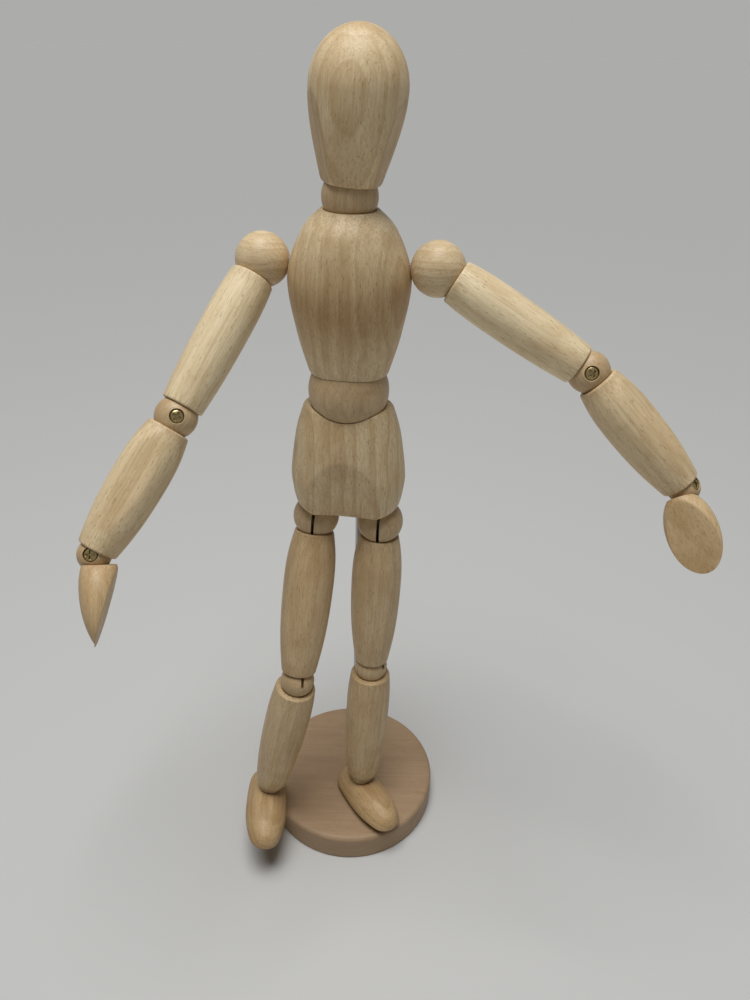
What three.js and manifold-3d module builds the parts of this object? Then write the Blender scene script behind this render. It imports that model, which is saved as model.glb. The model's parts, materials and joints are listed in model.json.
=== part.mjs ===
// Jointed wooden artist mannequin on a round base.
// Turned wooden pieces ride on slotted wooden balls. Each ball is pinned to a flat eye in its slot
// and swivels on a round shank on its other side, and spring ties inside the limbs hold all together.
// Millimetres, +Z up. The origin is the centre of the base's underside and the figure faces -Y.
import * as THREE from 'three';
import { mergeVertices } from 'three/addons/utils/BufferGeometryUtils.js';
import Module from 'manifold-3d';

const wasm = await Module();
wasm.setup();

// Clearances
const RUN = 0.3; // round a pin, a peg, a spring or the rod
const BALL_GAP = 0.3; // between a ball and its socket
const SLOT_GAP = 0.25; // each side of an eye strip in its slot
const SOLE_LIFT = 1.3; // the standing foot's lowest point over the base

// Sides of the facets
const ROUND = 16; // balls and limbs
const TORSO_ROUND = 20; // head, chest and pelvis
const BASE_ROUND = 36;
const WIRE_ROUND = 8; // pins, wires and springs

// Base and rod
const BASE_DIAMETER = 80;
const BASE_HEIGHT = 13.5;
const BASE_EDGE = 2; // rounding of the upper edge
const BASE_CHAMFER = 0.6; // lower edge
const ROD_DIAMETER = 5;
const ROD_IN_BASE = 10;
const ROD_IN_PELVIS = 24;
const ROD_X = 3;
const ROD_Y = 6.5;
const ROD_BESIDE = 4.3; // rod axis beside the figure's middle
const ROD_BEHIND = 9; // rod axis behind the hip line
const FIGURE_YAW = -6; // degrees

// Balls
const SHOULDER_BALL = 18;
const HIP_BALL = 18;
const NECK_BALL = 18;
const WAIST_BALL = 28.8;
const ELBOW_BALL = 14;
const KNEE_BALL = 14;
const WRIST_BALL = 10.8;
const ANKLE_BALL = 10.8;

// Pins, eyes and ties
const PIN_DIAMETER = 2;
const PIN_INSET = 0.4; // pin ends below the ball's surface
const SCREW_HEAD = 4.1;
const SCREW_HEAD_HEIGHT = 1.5;
const COUNTERBORE_DEPTH = 2.2;
const STRIP = 0.7; // thickness of an eye strip
const EYE_DIAMETER = 4.6;
const TONGUE_WIDTH = 2.6;
const SPRING_DIAMETER = 4.6;
const SPRING_CLEAR = 5; // from a ball's surface to the spring's end
const WIRE_DIAMETER = 1.8;
const SHANK_STOP = 3.2; // from a ball's centre to the end of its shank hole
const STEM_DIAMETER = 3; // wooden stem under wrist and ankle balls
const STEM_LENGTH = 5; // below the ball
const PEG_DIAMETER = 3;
const PEG_IN_CHEST = 11;

// Pelvis, with heights over the hip centres
const HIP_SPREAD = 25.4; // centre to centre
const PELVIS_WIDTH = 43;
const PELVIS_BOTTOM_WIDTH = 37;
const PELVIS_EDGE = 2.4; // height of the rounded lower edge
const PELVIS_RIM_WIDTH = 32.2;
const PELVIS_FLOOR = 7;
const PELVIS_HEIGHT = 42.4;
const PELVIS_BELLY = 16; // widest place over the floor
const PELVIS_OVAL = 0.76; // depth over width
const PELVIS_PLANE_TOP = 27; // upper end of the planed front over the floor
const PELVIS_PLANE_TILT = 10.5; // degrees from upright
const HIP_SPRING_LENGTH = 14;
const WAIST_SPRING_LENGTH = 16;

// Waist, chest, neck and head, with heights over the hip centres or the piece below
const WAIST_CENTRE = 54.7;
const CHEST_FLOOR = 7; // over the waist centre
const CHEST_HEIGHT = 54;
const CHEST_WIDTH = 41;
const CHEST_BOTTOM_WIDTH = 27.8;
const CHEST_BELLY = 33; // widest place over the floor
const CHEST_OVAL = 0.86; // depth over width, up to the widest place
const CHEST_RIM_WALL = 0.6; // wood round the neck socket
const SHOULDER_HEIGHT = 36.9; // over the chest's floor
const SHOULDER_STANDOFF = 8.4; // ball centre outside the chest's widest place
const NECK_RISE = 3.7; // neck centre over the chest's top
const HEAD_RISE = 3.8; // head's cut underside over the neck centre
const HEAD_HEIGHT = 42.4;
const HEAD_WIDTH = 29.6;
const HEAD_BELLY = 26; // widest place over the underside
const HEAD_RIM_WALL = 0.6;
const CHEEK_FLAT = 11.5; // planed cheeks' distance from the head's axis
const CHEEK_HEIGHT = 10; // over the underside, where that distance is measured
const CHEEK_TURN = 20; // degrees from the side towards the face
const CHEEK_TILT = 14; // degrees from upright
const HEAD_TIE_LENGTH = 16; // above the neck ball
const WAIST_SWAY = 20; // degrees that the wires can lean in the waist ball
const NECK_SWAY = 22;
const HIP_SWAY = 16;

// Limbs, from ball centre to ball centre
const UPPER_ARM_LENGTH = 59.2;
const UPPER_ARM_BELLY = 16.3;
const FOREARM_LENGTH = 50.8;
const FOREARM_BELLY = 17.8;
const FOREARM_ELBOW_WALL = 1;
const FOREARM_WRIST_WALL = 0.9;
const FOREARM_FLAT = 7.8; // planed flat's distance from the forearm's axis
const THIGH_LENGTH = 72.4;
const THIGH_BELLY = 21;
const THIGH_KNEE_WALL = 1;
const SHIN_LENGTH = 66.5;
const SHIN_BELLY = 19;
const SHIN_KNEE_WALL = 2;
const SHIN_ANKLE_WALL = 1.8;
const RIM_WALL = 0.5; // wood left at a socket's edge
const BORE_DIAMETER = 5.6; // through each limb
const HAND_LENGTH = 29.4; // wrist centre to finger tip, along the wrist's axis
const HAND_WIDTH = 17;
const HAND_THICKNESS = 12.2; // of the whole egg, before the palm is sliced
const HAND_TOP = 3.2; // cut below the wrist centre
const HAND_MIDDLE = 15.2; // widest place below the wrist centre
const HAND_BELLY = 9.2; // thickest place below the wrist centre
const HAND_HEEL = 12.4; // from the thickest place up to where the heel would close
const HAND_FORWARD = 1.7; // egg's axis in front of the wrist's axis
const HAND_ASIDE = 1.5; // egg's axis beside the wrist's axis; both hands are made alike
const PALM_TILT = 15.6; // degrees between the palm and the wrist's axis
const FINGER_OFFSET = 0.4; // finger tip from the wrist's axis, towards the palm
const FINGER_TAPER = 0.8; // 0.5 thins the fingers as an ellipse, 1 as a parabola
const FOOT_LENGTH = 39;
const FOOT_WIDTH = 18.6;
const FOOT_HEEL = 12.5; // heel behind the ankle centre
const FOOT_DROP = 10.8; // sole under the ankle centre
const FOOT_RISE = 1; // height of the upper over its half width

// Edges of the sockets, in degrees from the limb's axis
const HIP_RIM = 50;
const SHOULDER_RIM = 45;
const ELBOW_RIM = 54;
const UPPER_ARM_RIM = 58;
const KNEE_RIM = 55;
const SHIN_RIM = 59;
const WRIST_RIM = 74;
const ANKLE_RIM = 64;

// Slots, in degrees either way from the limb's straight line
const SHOULDER_SLOT = [-92, 6];
const HIP_SLOT = [-120, 34];
const ELBOW_SLOT = [-64, 64];
const KNEE_SLOT = [-64, 64];
const WRIST_SLOT = [-52, 52];
const ANKLE_SLOT = [-48, 48];

// The stored pose, in degrees. The sides are the figure's own.
const HEAD_LEAN = 4.5;
const POSE = {
  left: {
    swivel: -73.4, swing: -29.8, elbowTurn: 1, elbow: -15.4, forearm: 48.7, wrist: -33.5, hand: -157.4,
    splay: 1.1, stride: -4.6, kneeTurn: 60, knee: 1, shin: -39, ankle: -0.8, foot: 18.7,
  },
  right: {
    swivel: 51.3, swing: -67.8, elbowTurn: -156.4, elbow: -1.9, forearm: -13, wrist: 30.2, hand: 7,
    splay: 4.2, stride: -18.1, kneeTurn: 27.3, knee: 17.8, shin: -10, ankle: 1.5, foot: -5,
  },
};

// A faceted ball lies inside its radius, so a faceted socket is drawn this much larger.
const FACET_ROOM = 1 / Math.cos(Math.PI / ROUND) ** 2;
const socketRadius = (ball) => (ball / 2 + BALL_GAP) * FACET_ROOM;
const rad = THREE.MathUtils.degToRad;
const point = (x, y) => new THREE.Vector2(x, y);

// Solids: closed three.js geometry to and from the boolean library
function solid(geometry) {
  const bare = geometry.clone();
  bare.deleteAttribute('normal');
  bare.deleteAttribute('uv');
  const merged = mergeVertices(bare, 1e-4);
  const corners = merged.index.array;
  const triangles = [];
  for (let i = 0; i < corners.length; i += 3) {
    const [a, b, c] = corners.slice(i, i + 3);
    if (a !== b && b !== c && c !== a) triangles.push(a, b, c);
  }
  const vertProperties = new Float32Array(merged.attributes.position.array);
  const triVerts = new Uint32Array(triangles);
  return new wasm.Manifold(new wasm.Mesh({ numProp: 3, vertProperties, triVerts }));
}

function geometryOf(body) {
  const mesh = body.getMesh();
  const geometry = new THREE.BufferGeometry();
  geometry.setAttribute('position', new THREE.BufferAttribute(mesh.vertProperties, 3));
  geometry.setIndex(new THREE.BufferAttribute(mesh.triVerts, 1));
  geometry.computeVertexNormals();
  return geometry;
}

// A profile of (radius, height) points, bottom to top, turned about Z
function turned(profile, sides) {
  return new THREE.LatheGeometry(profile, sides).rotateX(Math.PI / 2);
}

function ball(radius, sides = ROUND) {
  return new THREE.SphereGeometry(radius, sides, sides / 2).rotateX(Math.PI / 2);
}

// A cylinder along Z from one height to another
function bar(diameter, low, high, sides = WIRE_ROUND) {
  const cylinder = new THREE.CylinderGeometry(diameter / 2, diameter / 2, high - low, sides);
  return cylinder.rotateX(Math.PI / 2).translate(0, 0, (low + high) / 2);
}

// A flat plate standing in the YZ plane, centred on X
function plate(shape, thickness, steps) {
  const flat = new THREE.ExtrudeGeometry(shape, {
    depth: thickness, bevelEnabled: false, curveSegments: steps,
  });
  const upright = new THREE.Matrix4().makeBasis(
    new THREE.Vector3(0, 1, 0), new THREE.Vector3(0, 0, 1), new THREE.Vector3(1, 0, 0),
  );
  return flat.translate(0, 0, -thickness / 2).applyMatrix4(upright);
}

// The place on a circle at an angle from straight down
const below = (angle, radius) => point(radius * Math.sin(rad(angle)), -radius * Math.cos(rad(angle)));

// Room for an eye strip that swings about X between two angles from straight down
function slotRoom(radius, [from, to]) {
  const width = STRIP + 2 * SLOT_GAP;
  const reach = radius + 1;
  const fan = new THREE.Shape();
  fan.moveTo(0, 0);
  fan.lineTo(below(from, reach).x, below(from, reach).y);
  fan.absarc(0, 0, reach, rad(from - 90), rad(to - 90), false);
  fan.closePath();
  const eyeRoom = new THREE.Shape();
  eyeRoom.absarc(0, 0, EYE_DIAMETER / 2 + RUN, 0, 2 * Math.PI, false);
  let room = solid(plate(fan, width, 4)).add(solid(plate(eyeRoom, width, 5)));
  for (const limit of [from, to]) {
    const tongue = new THREE.BoxGeometry(width, TONGUE_WIDTH + 2 * SLOT_GAP, reach);
    room = room.add(solid(tongue.translate(0, 0, -reach / 2).rotateX(rad(limit))));
  }
  return room;
}

// A slotted ball: pin along X, slot downwards, shank or wire hole upwards
function slottedBall(diameter, slot, { shank = PEG_DIAMETER, sway = 0, screwed = false, stem = false }) {
  const radius = diameter / 2;
  let body = solid(ball(radius));
  if (stem) body = body.add(solid(bar(STEM_DIAMETER, SHANK_STOP, radius + STEM_LENGTH)));
  body = body.subtract(slotRoom(radius, slot));
  body = body.subtract(solid(bar(PIN_DIAMETER + 2 * RUN, -radius - 1, radius + 1).rotateY(Math.PI / 2)));
  if (screwed) {
    const seat = radius - COUNTERBORE_DEPTH;
    const counterbore = bar(SCREW_HEAD + 2 * RUN, seat, radius + 1, ROUND);
    body = body.subtract(solid(counterbore.rotateY(Math.PI / 2)));
  }
  if (!stem) {
    const mouth = radius + 1;
    const inner = shank / 2 + RUN + SHANK_STOP * Math.sin(rad(sway));
    const outer = inner + (mouth - SHANK_STOP) * Math.tan(rad(sway));
    const hole = [point(0, SHANK_STOP), point(inner, SHANK_STOP), point(outer, mouth), point(0, mouth)];
    body = body.subtract(solid(turned(hole, WIRE_ROUND)));
  }
  return body;
}

// The pin across a ball, or the screw with its head in the counterbore
function pin(diameter) {
  const half = Math.sqrt((diameter / 2) ** 2 - (PIN_DIAMETER / 2) ** 2) - PIN_INSET;
  return solid(bar(PIN_DIAMETER, -half, half).rotateY(Math.PI / 2));
}

function screw(diameter) {
  const seat = diameter / 2 - COUNTERBORE_DEPTH + RUN;
  const far = Math.sqrt((diameter / 2) ** 2 - (PIN_DIAMETER / 2) ** 2) - PIN_INSET;
  const shoulder = seat + SCREW_HEAD_HEIGHT * 0.6;
  const profile = [
    point(0, -far), point(PIN_DIAMETER / 2, -far), point(PIN_DIAMETER / 2, seat),
    point(SCREW_HEAD / 2, seat), point(SCREW_HEAD / 2, shoulder),
    point(SCREW_HEAD * 0.3, seat + SCREW_HEAD_HEIGHT), point(0, seat + SCREW_HEAD_HEIGHT),
  ];
  return solid(turned(profile, WIRE_ROUND).rotateY(Math.PI / 2));
}

// A flat eye round a pin at the origin, with its tongue down to the given depth
function eye(depth) {
  const outline = new THREE.Shape();
  const half = TONGUE_WIDTH / 2;
  const start = Math.asin(TONGUE_WIDTH / EYE_DIAMETER);
  outline.moveTo(half, -depth);
  outline.lineTo(half, -EYE_DIAMETER / 2 * Math.cos(start));
  outline.absarc(0, 0, EYE_DIAMETER / 2, start - Math.PI / 2, 1.5 * Math.PI - start, false);
  outline.lineTo(-half, -depth);
  outline.closePath();
  const hole = new THREE.Path();
  hole.absarc(0, 0, PIN_DIAMETER / 2 + RUN, 0, 2 * Math.PI, true);
  outline.holes.push(hole);
  return solid(plate(outline, STRIP, 4));
}

// A limb's tie: an eye or a round shank at the top ball, a spring, and an eye at the bottom ball
function limbTie({ length, topBall, bottomBall, turn = 0, shank = 0 }) {
  const springTop = -(topBall / 2 + SPRING_CLEAR);
  const springBottom = -(length - bottomBall / 2 - SPRING_CLEAR);
  const lap = 1;
  let tie = solid(bar(SPRING_DIAMETER, springBottom, springTop));
  if (shank) tie = tie.add(solid(bar(shank, springTop - lap, -SHANK_STOP - RUN)));
  else tie = tie.add(eye(-springTop + lap));
  const foot = eye(length + springBottom + lap).rotate([180, 0, turn]).translate([0, 0, -length]);
  return tie.add(foot);
}

// A turned limb piece between two sockets. Heights run down from the top ball's centre.
function limbProfile({ length, top, bottom, belly, bellyAt }) {
  const socket = (end, centre, sign) => {
    const radius = socketRadius(end.ball);
    const bore = Math.asin(BORE_DIAMETER / 2 / radius);
    const steps = 2;
    return Array.from({ length: steps + 1 }, (_, i) => {
      const angle = THREE.MathUtils.lerp(rad(end.rim), bore, i / steps);
      return point(radius * Math.sin(angle), centre + sign * radius * Math.cos(angle));
    });
  };
  const upper = socket(top, 0, -1);
  const lower = socket(bottom, -length, 1);
  const topRim = point(upper[0].x + top.wall, upper[0].y);
  const bottomRim = point(lower[0].x + bottom.wall, lower[0].y);
  const middle = point(belly / 2, THREE.MathUtils.lerp(topRim.y, bottomRim.y, bellyAt));
  const swell = (rim) => {
    const rise = rim.y - middle.y;
    const lift = point(THREE.MathUtils.lerp(rim.x, middle.x, 0.65), rim.y - 0.3 * rise);
    return new THREE.CubicBezierCurve(rim, lift, point(middle.x, middle.y + 0.45 * rise), middle);
  };
  const outerLower = swell(bottomRim).getPoints(4);
  const outerUpper = swell(topRim).getPoints(4).reverse().slice(1);
  return [...lower.reverse(), ...outerLower, ...outerUpper, ...upper, lower[0].clone()];
}

// An oval body: a turned profile pressed thinner from front to back by a ratio that may vary in height
function oval(profile, ratio) {
  const geometry = turned(profile, TORSO_ROUND);
  const places = geometry.attributes.position;
  for (let i = 0; i < places.count; i += 1) places.setY(i, places.getY(i) * ratio(places.getZ(i)));
  return geometry;
}

// A smooth profile through a few (radius, height) points, closed along the axis
function smoothProfile(points, steps) {
  const curve = new THREE.SplineCurve(points);
  const line = curve.getPoints(steps);
  return [point(0, line[0].y), ...line, point(0, line[line.length - 1].y)];
}

// Materials
const timber = (color) => new THREE.MeshStandardMaterial({ color, roughness: 0.62, metalness: 0 });
const steel = () => new THREE.MeshStandardMaterial({ color: 0x8f9296, roughness: 0.35, metalness: 1 });
const brass = () => new THREE.MeshStandardMaterial({ color: 0x8a7a4a, roughness: 0.4, metalness: 1 });
const PALE = 0xdcc9a0;
const BALL_WOOD = 0xcdb48a;
const BASE_WOOD = 0xb08a68;

function piece(name, body, material) {
  const mesh = new THREE.Mesh(geometryOf(body), material);
  mesh.name = name;
  return mesh;
}

// A group turned about one of its own axes; a joint of the figure
function hinge(name, axis, degrees) {
  const group = new THREE.Group();
  group.name = name;
  group.rotation[axis] = rad(degrees);
  return group;
}

const mannequin = new THREE.Group();

// Base: a turned disc with a rounded upper edge and a blind hole for the rod
function baseDisc() {
  const radius = BASE_DIAMETER / 2;
  const shoulder = BASE_HEIGHT - BASE_EDGE;
  const edge = [0, 30, 60, 90].map((angle) => point(
    radius - BASE_EDGE + BASE_EDGE * Math.cos(rad(angle)),
    shoulder + BASE_EDGE * Math.sin(rad(angle)),
  ));
  const profile = [
    point(0, 0), point(radius - BASE_CHAMFER, 0), point(radius, BASE_CHAMFER), ...edge, point(0, BASE_HEIGHT),
  ];
  const hole = bar(ROD_DIAMETER + 2 * RUN, BASE_HEIGHT - ROD_IN_BASE, BASE_HEIGHT + 1, ROUND);
  return solid(turned(profile, BASE_ROUND)).subtract(solid(hole.translate(ROD_X, ROD_Y, 0)));
}
mannequin.add(piece('base', baseDisc(), timber(BASE_WOOD)));

// The figure turns about the rod and slides along it.
const rodTurn = hinge('rod_turn', 'z', FIGURE_YAW);
rodTurn.position.set(ROD_X, ROD_Y, 0);
mannequin.add(rodTurn);
const figure = new THREE.Group();
figure.name = 'pelvis_lift';
figure.position.set(-ROD_BESIDE, -ROD_BEHIND, 0);
rodTurn.add(figure);

// Pelvis: an oval turned block with sockets for the waist and hip balls, a planed front and its bores
const pelvisTop = PELVIS_FLOOR + PELVIS_HEIGHT;
function pelvisBlock() {
  const floor = PELVIS_FLOOR;
  const belly = floor + PELVIS_BELLY;
  const width = (share) => THREE.MathUtils.lerp(PELVIS_WIDTH, PELVIS_RIM_WIDTH, share) / 2;
  const profile = smoothProfile([
    point(PELVIS_BOTTOM_WIDTH / 2, floor),
    point((PELVIS_BOTTOM_WIDTH + PELVIS_WIDTH) / 4, floor + PELVIS_EDGE),
    point(PELVIS_WIDTH / 2 - 0.3, floor + PELVIS_BELLY * 0.55),
    point(PELVIS_WIDTH / 2, belly),
    point(width(0.42), THREE.MathUtils.lerp(belly, pelvisTop, 0.6)),
    point(PELVIS_RIM_WIDTH / 2, pelvisTop),
  ], 11);
  let body = solid(oval(profile, () => PELVIS_OVAL));
  body = body.subtract(solid(ball(socketRadius(WAIST_BALL), TORSO_ROUND).translate(0, 0, WAIST_CENTRE)));
  const waistBore = WAIST_CENTRE - WAIST_BALL / 2 - SPRING_CLEAR - WAIST_SPRING_LENGTH - RUN;
  body = body.subtract(solid(bar(SPRING_DIAMETER + 2 * RUN, waistBore, WAIST_CENTRE)));
  for (const side of [-1, 1]) {
    const x = side * HIP_SPREAD / 2;
    body = body.subtract(solid(ball(socketRadius(HIP_BALL)).translate(x, 0, 0)));
    const hipBore = HIP_BALL / 2 + SPRING_CLEAR + HIP_SPRING_LENGTH + RUN;
    body = body.subtract(solid(bar(SPRING_DIAMETER + 2 * RUN, 0, hipBore).translate(x, 0, 0)));
  }
  const rodBore = bar(ROD_DIAMETER + 2 * RUN, 0, PELVIS_FLOOR + ROD_IN_PELVIS + RUN, ROUND);
  body = body.subtract(solid(rodBore.translate(ROD_BESIDE, ROD_BEHIND, 0)));
  const planer = new THREE.BoxGeometry(2 * PELVIS_WIDTH, PELVIS_WIDTH, 2 * PELVIS_HEIGHT);
  planer.translate(0, -PELVIS_WIDTH / 2, 0).rotateX(rad(PELVIS_PLANE_TILT));
  const planeTop = floor + PELVIS_PLANE_TOP;
  planer.translate(0, -PELVIS_WIDTH / 2 * PELVIS_OVAL + 0.6, planeTop);
  return body.subtract(solid(planer));
}
figure.add(piece('pelvis', pelvisBlock(), timber(PALE)));

// Waist: a spring that turns in the pelvis, the waist ball on its wire, and the chest leaning on the ball
function hourglass(radius, wire, sway) {
  const waist = 1;
  const narrow = wire / 2 + RUN + waist * Math.sin(rad(sway));
  const reach = radius + 1;
  const wide = narrow + (reach - waist) * Math.tan(rad(sway));
  const profile = [
    point(0, -reach), point(wide, -reach), point(narrow, -waist),
    point(narrow, waist), point(wide, reach), point(0, reach),
  ];
  return solid(turned(profile, WIRE_ROUND));
}

const WIRE_END = 1; // wires stop this far from the centre of a through-bored ball
const waistTurn = hinge('waist_turn', 'z', 0);
waistTurn.position.z = WAIST_CENTRE;
figure.add(waistTurn);
const waistSpringTop = -(WAIST_BALL / 2 + SPRING_CLEAR);
const waistSpring = solid(bar(SPRING_DIAMETER, waistSpringTop - WAIST_SPRING_LENGTH, waistSpringTop))
  .add(solid(bar(WIRE_DIAMETER, waistSpringTop - 1, -WIRE_END)));
waistTurn.add(piece('waist_spring', waistSpring, steel()));
const waistBend = hinge('waist_bend', 'x', 0);
waistTurn.add(waistBend);
const waistBall = solid(ball(WAIST_BALL / 2, TORSO_ROUND))
  .subtract(hourglass(WAIST_BALL / 2, WIRE_DIAMETER, WAIST_SWAY));
waistBend.add(piece('waist_ball', waistBall, timber(BALL_WOOD)));
const chest = hinge('waist_lean', 'y', 0);
waistBend.add(chest);

// Chest: an oval barrel with sockets for the waist, neck and shoulder balls
const chestTop = CHEST_FLOOR + CHEST_HEIGHT;
const neckCentre = chestTop + NECK_RISE;
const shoulderZ = CHEST_FLOOR + SHOULDER_HEIGHT;
const shoulderX = CHEST_WIDTH / 2 + SHOULDER_STANDOFF;
const rimRadius = (ballDiameter, rise, wall) => Math.sqrt(socketRadius(ballDiameter) ** 2 - rise ** 2) + wall;
function chestBarrel() {
  const rim = rimRadius(NECK_BALL, NECK_RISE, CHEST_RIM_WALL);
  const belly = CHEST_FLOOR + CHEST_BELLY;
  const flank = THREE.MathUtils.lerp(CHEST_BOTTOM_WIDTH, CHEST_WIDTH, 0.62) / 2;
  const profile = smoothProfile([
    point(CHEST_BOTTOM_WIDTH / 2, CHEST_FLOOR),
    point(flank, CHEST_FLOOR + CHEST_BELLY * 0.45),
    point(CHEST_WIDTH / 2, belly),
    point(THREE.MathUtils.lerp(rim, CHEST_WIDTH / 2, 0.56), THREE.MathUtils.lerp(belly, chestTop, 0.68)),
    point(rim, chestTop),
  ], 11);
  const flatten = (z) => THREE.MathUtils.lerp(CHEST_OVAL, 1, THREE.MathUtils.smoothstep(z, belly, chestTop));
  let body = solid(oval(profile, flatten));
  body = body.subtract(solid(ball(socketRadius(WAIST_BALL), TORSO_ROUND)));
  body = body.subtract(solid(ball(socketRadius(NECK_BALL)).translate(0, 0, neckCentre)));
  body = body.subtract(solid(bar(SPRING_DIAMETER + 2 * RUN, 0, neckCentre)));
  for (const side of [-1, 1]) {
    body = body.subtract(solid(ball(socketRadius(SHOULDER_BALL)).translate(side * shoulderX, 0, shoulderZ)));
    const bore = bar(PEG_DIAMETER + 2 * RUN, 0, SHOULDER_STANDOFF + PEG_IN_CHEST + RUN);
    body = body.subtract(solid(bore.rotateY(-side * Math.PI / 2).translate(side * shoulderX, 0, shoulderZ)));
  }
  return body;
}
chest.add(piece('chest', chestBarrel(), timber(PALE)));
const chestSpringLow = WAIST_BALL / 2 + SPRING_CLEAR;
const chestSpringHigh = neckCentre - NECK_BALL / 2 - SPRING_CLEAR;
const chestSpring = solid(bar(SPRING_DIAMETER, chestSpringLow, chestSpringHigh))
  .add(solid(bar(WIRE_DIAMETER, WIRE_END, neckCentre - WIRE_END)));
chest.add(piece('chest_tie', chestSpring, steel()));

// Neck and head: the ball nods on the chest, the head's wire leans on the ball and the head turns on it
const neckNod = hinge('neck_nod', 'x', 0);
neckNod.position.z = neckCentre;
chest.add(neckNod);
const neckBall = solid(ball(NECK_BALL / 2)).subtract(hourglass(NECK_BALL / 2, WIRE_DIAMETER, NECK_SWAY));
neckNod.add(piece('neck_ball', neckBall, timber(BALL_WOOD)));
const headLean = hinge('head_lean', 'y', HEAD_LEAN);
neckNod.add(headLean);
const headSpringLow = NECK_BALL / 2 + SPRING_CLEAR;
const headTie = solid(bar(WIRE_DIAMETER, WIRE_END, headSpringLow + 1))
  .add(solid(bar(SPRING_DIAMETER, headSpringLow, headSpringLow + HEAD_TIE_LENGTH)));
headLean.add(piece('head_tie', headTie, steel()));
const head = hinge('head_turn', 'z', 0);
headLean.add(head);
function headEgg() {
  const rim = rimRadius(NECK_BALL, HEAD_RISE, HEAD_RIM_WALL);
  const half = HEAD_WIDTH / 2;
  const belly = HEAD_RISE + HEAD_BELLY;
  const crown = HEAD_RISE + HEAD_HEIGHT;
  const jaw = new THREE.CubicBezierCurve(
    point(rim, HEAD_RISE), point(rim + 2.4, HEAD_RISE + HEAD_BELLY * 0.3),
    point(half, belly - HEAD_BELLY * 0.4), point(half, belly),
  );
  const dome = [15, 30, 45, 60, 75, 90].map((angle) => point(
    half * Math.cos(rad(angle)), belly + (crown - belly) * Math.sin(rad(angle)),
  ));
  const profile = [point(0, HEAD_RISE), ...jaw.getPoints(6), ...dome];
  profile[profile.length - 1].x = 0;
  const bore = bar(SPRING_DIAMETER + 2 * RUN, 0, headSpringLow + HEAD_TIE_LENGTH + RUN);
  let body = solid(turned(profile, TORSO_ROUND))
    .subtract(solid(ball(socketRadius(NECK_BALL))))
    .subtract(solid(bore));
  for (const turn of [-CHEEK_TURN, 180 + CHEEK_TURN]) {
    const planer = new THREE.BoxGeometry(HEAD_WIDTH, 2 * HEAD_WIDTH, 3 * HEAD_HEIGHT);
    planer.translate(HEAD_WIDTH / 2, 0, 0).rotateY(rad(CHEEK_TILT));
    planer.translate(CHEEK_FLAT, 0, HEAD_RISE + CHEEK_HEIGHT).rotateZ(rad(turn));
    body = body.subtract(solid(planer));
  }
  return body;
}
head.add(piece('head', headEgg(), timber(PALE)));

// Hand: an egg sliced by the flat palm, cut across at the wrist and bored for the wrist ball and its stem
function handEgg() {
  const half = HAND_LENGTH - HAND_MIDDLE;
  const egg = new THREE.SphereGeometry(1, ROUND, 10).rotateX(Math.PI / 2);
  const places = egg.attributes.position;
  for (let i = 0; i < places.count; i += 1) {
    const ring = Math.hypot(places.getX(i), places.getY(i));
    const z = half * places.getZ(i) - HAND_MIDDLE;
    const heel = z > -HAND_BELLY;
    const reach = (z + HAND_BELLY) / (heel ? HAND_HEEL : HAND_LENGTH - HAND_BELLY);
    const thick = HAND_THICKNESS / 2 * (1 - Math.min(reach ** 2, 1)) ** (heel ? 0.5 : FINGER_TAPER);
    const across = ring > 0.01 ? places.getY(i) / ring : 0;
    const x = HAND_ASIDE + HAND_WIDTH / 2 * places.getX(i);
    places.setXYZ(i, x, HAND_FORWARD + thick * across, z);
  }
  const palm = new THREE.BoxGeometry(2 * HAND_WIDTH, HAND_WIDTH, 4 * HAND_LENGTH);
  palm.translate(0, HAND_WIDTH / 2, 0).rotateX(rad(-PALM_TILT)).translate(0, FINGER_OFFSET, -HAND_LENGTH);
  const above = new THREE.BoxGeometry(3 * HAND_WIDTH, 3 * HAND_WIDTH, HAND_LENGTH);
  above.translate(0, 0, HAND_LENGTH / 2 - HAND_TOP);
  const stemHole = bar(STEM_DIAMETER + 2 * RUN, -(WRIST_BALL / 2 + STEM_LENGTH + RUN), 0);
  return solid(egg)
    .subtract(solid(palm))
    .subtract(solid(above))
    .subtract(solid(ball(socketRadius(WRIST_BALL))))
    .subtract(solid(stemHole));
}

// Foot: half an egg laid along -Y, flat on its sole, bored for the ankle ball and its stem
function footWedge() {
  const half = FOOT_WIDTH / 2;
  const toe = FOOT_LENGTH - FOOT_HEEL;
  const outline = smoothProfile([
    point(half * 0.42, -FOOT_HEEL), point(half * 0.86, -FOOT_HEEL + 4), point(half, 0.18 * toe),
    point(half * 0.94, 0.56 * toe), point(half * 0.68, 0.87 * toe), point(half * 0.32, toe),
  ], 10);
  const egg = turned(outline, TORSO_ROUND).rotateX(Math.PI / 2).scale(1, 1, FOOT_RISE);
  egg.translate(0, 0, -FOOT_DROP);
  const under = new THREE.BoxGeometry(2 * FOOT_LENGTH, 3 * FOOT_LENGTH, FOOT_LENGTH);
  under.translate(0, 0, -FOOT_DROP - FOOT_LENGTH / 2);
  const stemHole = bar(STEM_DIAMETER + 2 * RUN, -(ANKLE_BALL / 2 + STEM_LENGTH + RUN), 0);
  return solid(egg)
    .subtract(solid(under))
    .subtract(solid(ball(socketRadius(ANKLE_BALL))))
    .subtract(solid(stemHole));
}

// A ball whose slot looks up to the piece above it and whose shank goes down to the piece below
const lowerBall = (diameter, slot, fit) => slottedBall(diameter, slot, fit).rotate([180, 0, 0]);

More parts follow.
